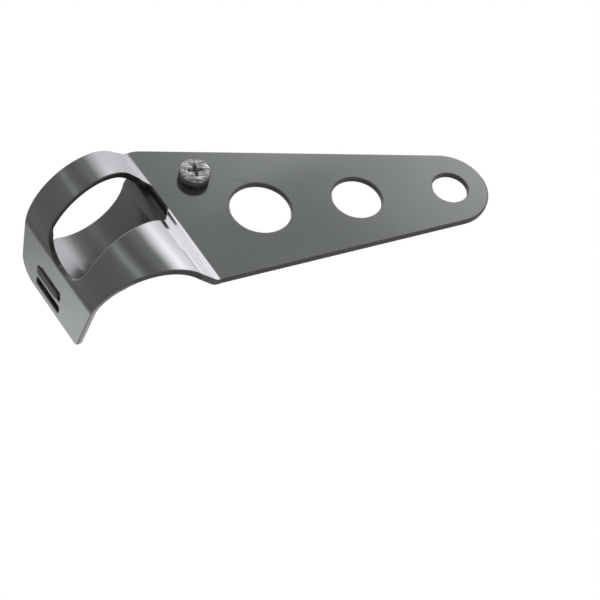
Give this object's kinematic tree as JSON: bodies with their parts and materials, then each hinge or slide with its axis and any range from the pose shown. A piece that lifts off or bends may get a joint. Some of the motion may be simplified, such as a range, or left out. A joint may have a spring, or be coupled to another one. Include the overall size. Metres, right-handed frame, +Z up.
{
  "type": "headlight mounting bracket",
  "caption": "Gloss black stamped bracket: a tapered, holed arm carries one side of a round headlight, and a strap-and-band clamp closed by a cross-recess screw grips a fork tube.",
  "frame": {"origin": "on the fork tube's axis, at mid-height of the clamp band", "axes": "+Z up along the fork tube, +X forward along the arm towards the headlight, -Y outwards, the way the plate's outer face and the screw head look"},
  "size_m": [0.1312, 0.0392, 0.0656],
  "materials": {
    "black_sheet": "gloss black coated steel sheet",
    "black_screw": "black plated steel, scuffed grey on the head"
  },
  "bodies": {
    "root": {"lamp_arm": "black_sheet", "clamp_band": "black_sheet", "clamp_screw": "black_screw", "clamp_nut": "black_screw"}
  },
  "joints": []
}
